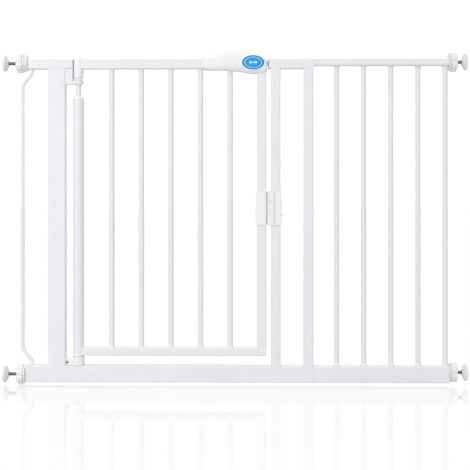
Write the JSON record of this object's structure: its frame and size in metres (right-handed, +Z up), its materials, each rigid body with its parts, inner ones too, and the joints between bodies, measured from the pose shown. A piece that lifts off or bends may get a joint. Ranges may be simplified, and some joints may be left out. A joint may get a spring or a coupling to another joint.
{
  "type": "pressure-fit safety gate",
  "caption": "White tubular-steel doorway gate with a swinging barred leaf, sliding latch handle, side extension and screw-out wall pads.",
  "frame": {"origin": "on the floor, midway between the left and right wall pads, on the middle plane of the tubes", "axes": "+X along the doorway from the hinge side to the latch side, -Y towards the room the handle badge faces, +Z up"},
  "size_m": [1.1, 0.043, 0.7909],
  "materials": {
    "powder_coat": "white powder-coated steel, satin gloss with a fine orange-peel",
    "white_plastic": "moulded white plastic with a fine satin gloss",
    "grey_plastic": "moulded pale grey-white plastic",
    "pad_rubber": "pale grey soft moulded pad",
    "zinc": "zinc-plated steel, dark grey",
    "spring_steel": "oiled spring steel wire",
    "badge_blue": "glossy bright blue plastic oval, plain"
  },
  "bodies": {
    "frame": {"bottom_rail": "powder_coat", "left_post": "powder_coat", "latch_post": "powder_coat", "outer_post": "powder_coat", "top_rail_left": "powder_coat", "top_rail_right": "powder_coat", "wall_wire": "powder_coat", "extension_bottom_rail": "powder_coat", "extension_top_rail": "powder_coat", "extension_bar_1": "powder_coat", "extension_bar_2": "powder_coat", "extension_bar_3": "powder_coat", "extension_bar_4": "powder_coat", "extension_bar_5": "powder_coat", "upper_hinge_bracket": "powder_coat", "upper_hinge_bush": "grey_plastic", "lower_hinge_block": "white_plastic", "lower_hinge_screw": "zinc", "strike_plug": "grey_plastic", "catch_block": "white_plastic", "catch_screw_1": "white_plastic", "catch_screw_2": "white_plastic", "rail_plug_top_left": "white_plastic", "rail_plug_bottom_left": "white_plastic", "rail_plug_top_right": "white_plastic", "rail_plug_bottom_right": "white_plastic"},
    "hinge_plug": {"hinge_spindle": "zinc", "closing_spring": "spring_steel"},
    "leaf": {"leaf_top_rail": "powder_coat", "leaf_bottom_rail": "powder_coat", "leaf_latch_stile": "powder_coat", "leaf_bar_1": "powder_coat", "leaf_bar_2": "powder_coat", "leaf_bar_3": "powder_coat", "leaf_bar_4": "powder_coat", "leaf_bar_5": "powder_coat", "hinge_tube": "powder_coat", "hinge_collar": "white_plastic", "hinge_pin": "powder_coat", "hinge_cap": "white_plastic", "leaf_foot_plug": "white_plastic", "handle_front_shell": "white_plastic", "handle_back_shell": "white_plastic", "handle_badge": "badge_blue", "catch_sleeve": "white_plastic", "latch_spring": "spring_steel"},
    "latch_slider": {"latch_bolt": "zinc", "thumb_slide": "grey_plastic"},
    "nut_top_left": {"nut_top_left": "grey_plastic"},
    "spindle_top_left": {"rod_top_left": "zinc", "pad_top_left": "pad_rubber"},
    "nut_bottom_left": {"nut_bottom_left": "grey_plastic"},
    "spindle_bottom_left": {"rod_bottom_left": "zinc", "pad_bottom_left": "pad_rubber"},
    "nut_top_right": {"nut_top_right": "grey_plastic"},
    "spindle_top_right": {"rod_top_right": "zinc", "pad_top_right": "pad_rubber"},
    "nut_bottom_right": {"nut_bottom_right": "grey_plastic"},
    "spindle_bottom_right": {"rod_bottom_right": "zinc", "pad_bottom_right": "pad_rubber"}
  },
  "joints": [
    {"name": "door_swing", "type": "hinge", "parent": "frame", "child": "hinge_plug", "pos_m": [-0.3715, 0, 0.055], "axis": [0, 0, 1], "range_deg": [-90, 90], "stiffness_Nm_per_rad": 0.45},
    {"name": "door_lift", "type": "slide", "parent": "hinge_plug", "child": "leaf", "axis": [0, 0, 1], "range_m": [0, 0.01]},
    {"name": "latch_slide", "type": "slide", "parent": "leaf", "child": "latch_slider", "axis": [-1, 0, 0], "range_m": [0, 0.008], "stiffness_N_per_m": 300, "deforming": ["latch_spring"]},
    {"name": "nut_turn_top_left", "type": "hinge", "parent": "frame", "child": "nut_top_left", "pos_m": [-0.5, 0, 0.763], "axis": [-1, 0, 0], "range_deg": [-3455, 4607]},
    {"name": "spindle_slide_top_left", "type": "slide", "parent": "frame", "child": "spindle_top_left", "axis": [-1, 0, 0], "range_m": [-0.012, 0.016]},
    {"name": "nut_turn_bottom_left", "type": "hinge", "parent": "frame", "child": "nut_bottom_left", "pos_m": [-0.5, 0, 0.023], "axis": [-1, 0, 0], "range_deg": [-3455, 4607]},
    {"name": "spindle_slide_bottom_left", "type": "slide", "parent": "frame", "child": "spindle_bottom_left", "axis": [-1, 0, 0], "range_m": [-0.012, 0.016]},
    {"name": "nut_turn_top_right", "type": "hinge", "parent": "frame", "child": "nut_top_right", "pos_m": [0.5, 0, 0.7645], "axis": [1, 0, 0], "range_deg": [-2303, 5759]},
    {"name": "spindle_slide_top_right", "type": "slide", "parent": "frame", "child": "spindle_top_right", "axis": [1, 0, 0], "range_m": [-0.008, 0.02]},
    {"name": "nut_turn_bottom_right", "type": "hinge", "parent": "frame", "child": "nut_bottom_right", "pos_m": [0.5, 0, 0.03], "axis": [1, 0, 0], "range_deg": [-2303, 5759]},
    {"name": "spindle_slide_bottom_right", "type": "slide", "parent": "frame", "child": "spindle_bottom_right", "axis": [1, 0, 0], "range_m": [-0.008, 0.02]}
  ],
  "couplings": [
    {"joint": "spindle_slide_top_left", "follows": "nut_turn_top_left", "m_per_rad": 0.00019894},
    {"joint": "spindle_slide_bottom_left", "follows": "nut_turn_bottom_left", "m_per_rad": 0.00019894},
    {"joint": "spindle_slide_top_right", "follows": "nut_turn_top_right", "m_per_rad": 0.00019894},
    {"joint": "spindle_slide_bottom_right", "follows": "nut_turn_bottom_right", "m_per_rad": 0.00019894}
  ]
}
